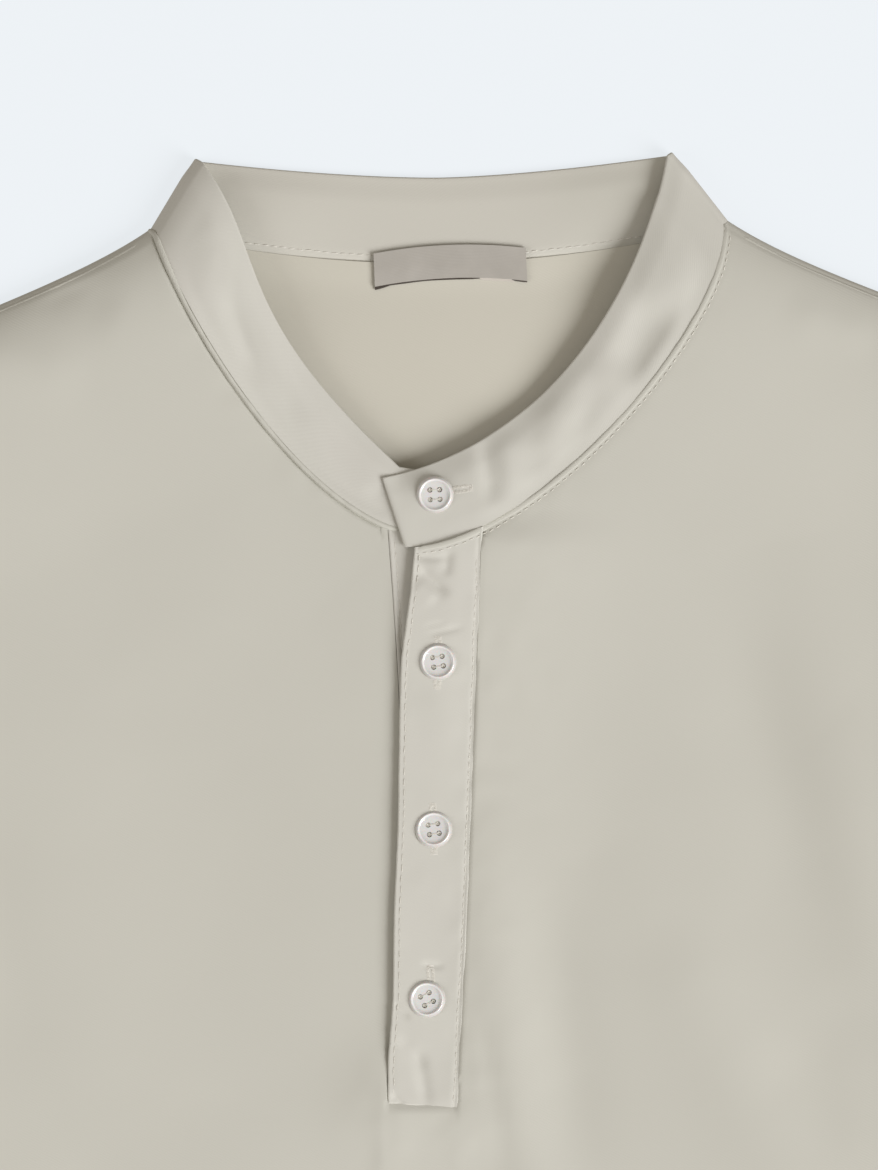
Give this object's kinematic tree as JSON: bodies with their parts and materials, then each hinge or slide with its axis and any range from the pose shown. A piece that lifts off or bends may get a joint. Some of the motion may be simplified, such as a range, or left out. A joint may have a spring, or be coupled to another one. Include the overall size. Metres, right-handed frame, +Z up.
{
  "type": "short-sleeved band-collar henley t-shirt, laid flat",
  "caption": "Short-sleeved t-shirt with a stand-up band collar and a buttoned half placket, lying flat on its back.",
  "frame": {"origin": "middle of the shirt's footprint, on the surface that it lies on", "axes": "+X across the shirt towards the wearer's left sleeve, +Y up the body towards the collar, +Z up from the surface, towards the front"},
  "size_m": [0.8376, 0.7334, 0.0151],
  "materials": {
    "stone_cotton": "matte",
    "pearl_resin": "gloss",
    "taupe_satin": "satin"
  },
  "bodies": {
    "root": {"back": "stone_cotton", "front": "stone_cotton", "sleeve_left": "stone_cotton", "sleeve_right": "stone_cotton", "band_outer": "stone_cotton", "band_inner": "stone_cotton", "placket_under": "stone_cotton", "placket_over": "stone_cotton", "button_band": "pearl_resin", "button_top": "pearl_resin", "button_middle": "pearl_resin", "button_bottom": "pearl_resin", "neck_label": "taupe_satin"}
  },
  "joints": []
}
